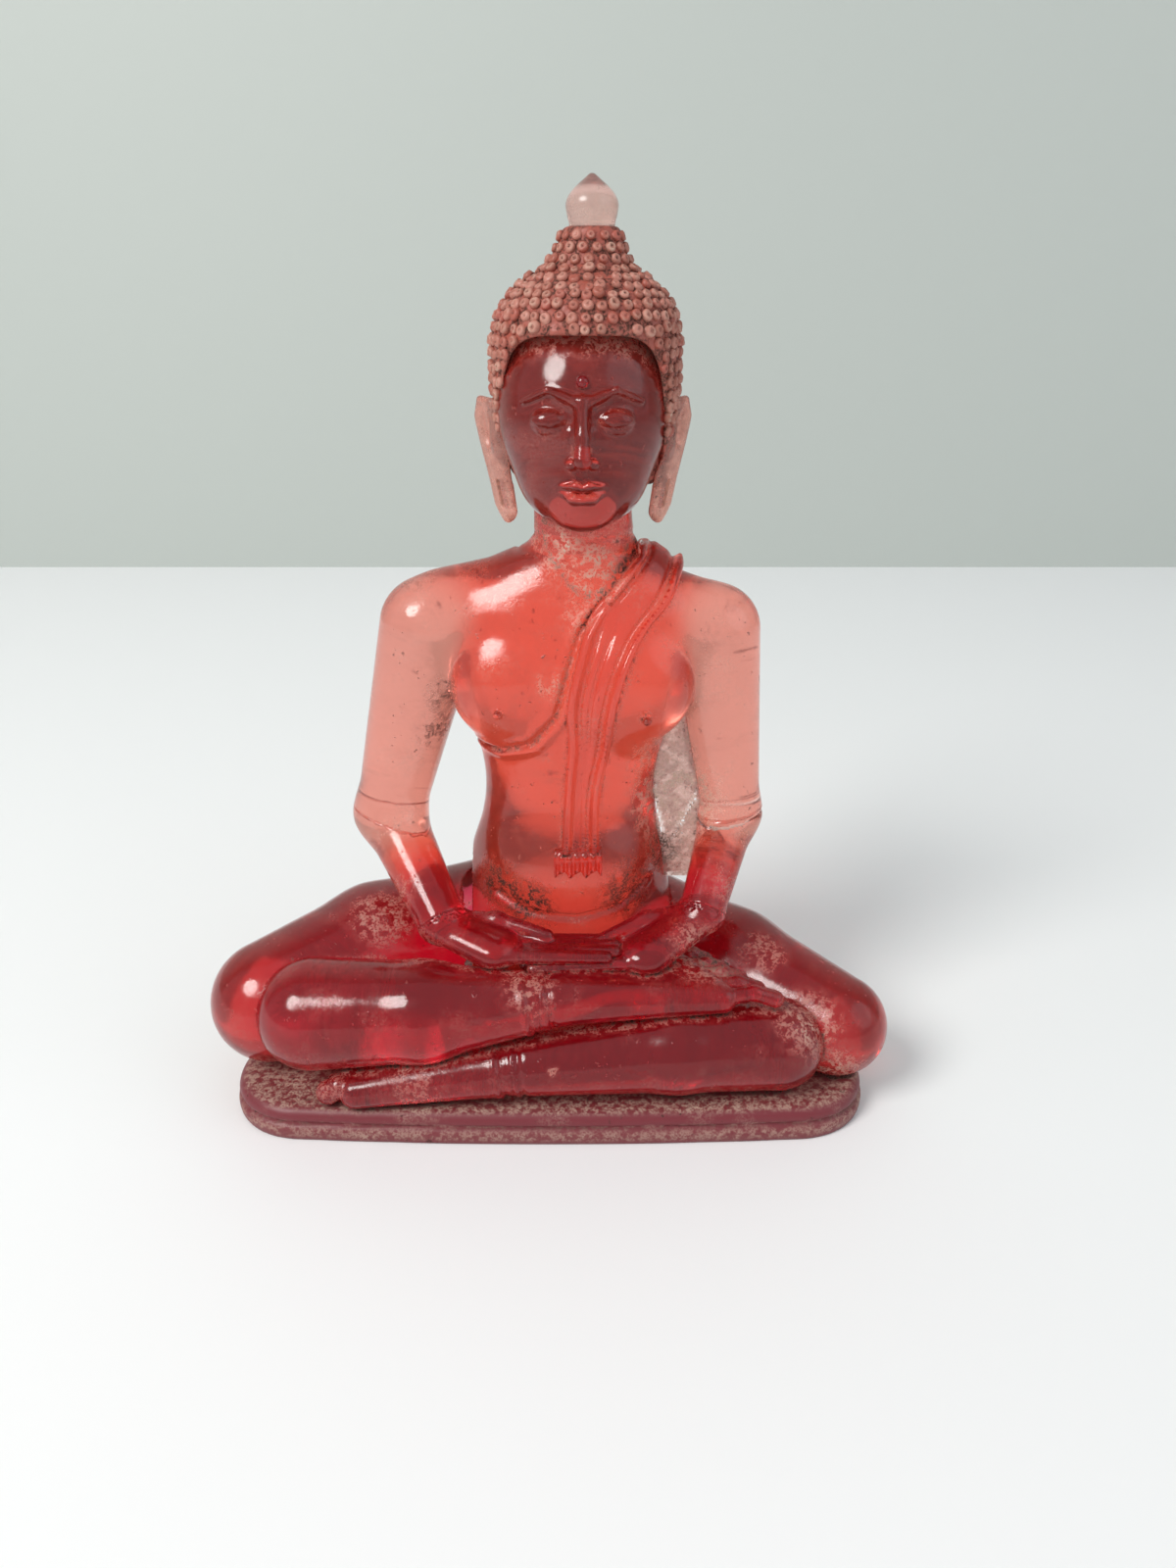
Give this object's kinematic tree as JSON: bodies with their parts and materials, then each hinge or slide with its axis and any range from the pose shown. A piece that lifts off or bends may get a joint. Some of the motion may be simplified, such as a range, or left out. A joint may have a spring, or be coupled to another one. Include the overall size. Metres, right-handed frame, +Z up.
{
  "type": "buddha statue",
  "caption": "Small translucent red resin figure seated cross-legged in meditation on a low plinth, right forearm free of the body, hair in rows of small curls under a bud-shaped finial.",
  "frame": {"origin": "middle of the bounding box at the level of the plinth's underside", "axes": "+Z up, the figure faces -Y, +X is the figure's left side"},
  "size_m": [0.1204, 0.057, 0.15],
  "materials": {
    "red_resin": "glossy translucent cast resin",
    "hair_resin": "translucent resin with dull pale deposits",
    "base_resin": "dull dark resin under beige dust",
    "clear_pink": "clear pale pink resin, slightly frosted"
  },
  "bodies": {
    "root": {"base_plinth": "base_resin", "trunk": "red_resin", "right_thigh": "red_resin", "left_thigh": "red_resin", "right_shin": "red_resin", "left_shin": "red_resin", "right_foot": "red_resin", "left_foot": "red_resin", "right_forearm": "red_resin", "left_forearm": "red_resin", "right_hand": "red_resin", "left_hand": "red_resin", "head": "red_resin", "right_ear": "clear_pink", "left_ear": "clear_pink", "hair_cap": "hair_resin", "hair_curls": "hair_resin", "ushnisha": "hair_resin", "ushnisha_curls": "hair_resin", "finial": "clear_pink", "urna": "red_resin", "robe_sash": "red_resin", "sash_tassel": "red_resin", "robe_drape": "clear_pink"}
  },
  "joints": []
}
